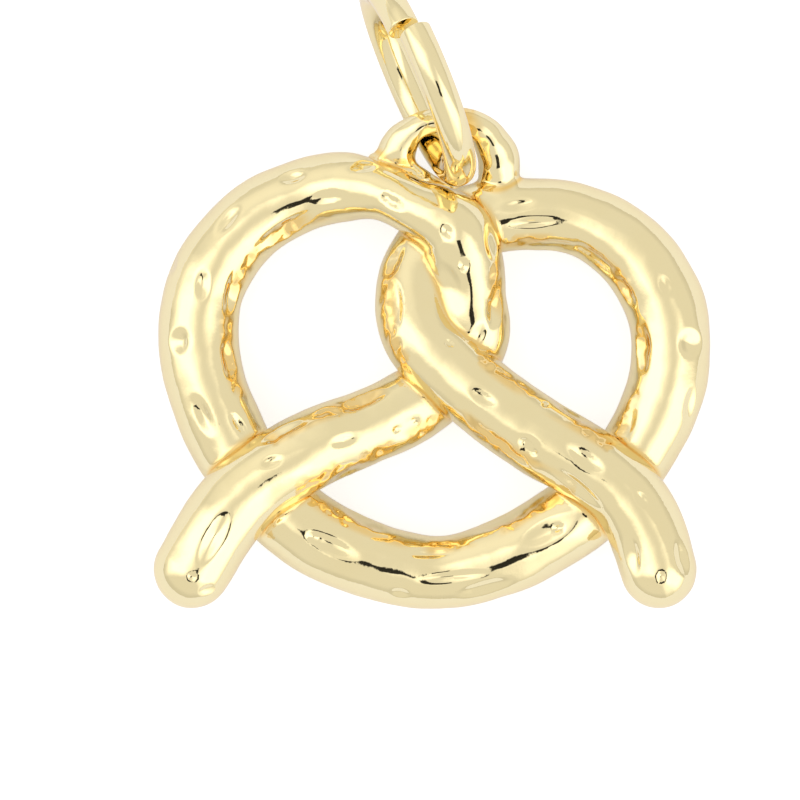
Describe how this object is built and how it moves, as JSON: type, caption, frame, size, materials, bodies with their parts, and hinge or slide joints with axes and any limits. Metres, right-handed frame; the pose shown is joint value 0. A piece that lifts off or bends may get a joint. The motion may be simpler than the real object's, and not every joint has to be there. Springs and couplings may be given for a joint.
{
  "type": "pretzel charm",
  "caption": "Pretzel-shaped cast metal charm with a hanging loop and a split jump ring, for hanging on a bracelet, earring or necklace.",
  "frame": {"origin": "under the middle of the whole piece, jump ring included, on the surface that it lies on", "axes": "+Z out of the shown face, +Y from the pretzel's round foot towards the hanging loop, +X to the right of the shown face"},
  "size_m": [0.0151, 0.0173, 0.0062],
  "materials": {
    "pretzel": "mirror polished, pale gold plating",
    "jump_ring": "mirror polished, pale gold plating"
  },
  "bodies": {
    "charm": {"pretzel": "pretzel"},
    "ring": {"jump_ring": "jump_ring"}
  },
  "joints": [
    {"name": "ring_swing", "type": "hinge", "parent": "charm", "child": "ring", "pos_m": [-0.00019, 0.00466, 0.0017], "axis": [0.9142, 0.3881, -0.1167], "range_deg": [-70, 5]}
  ]
}
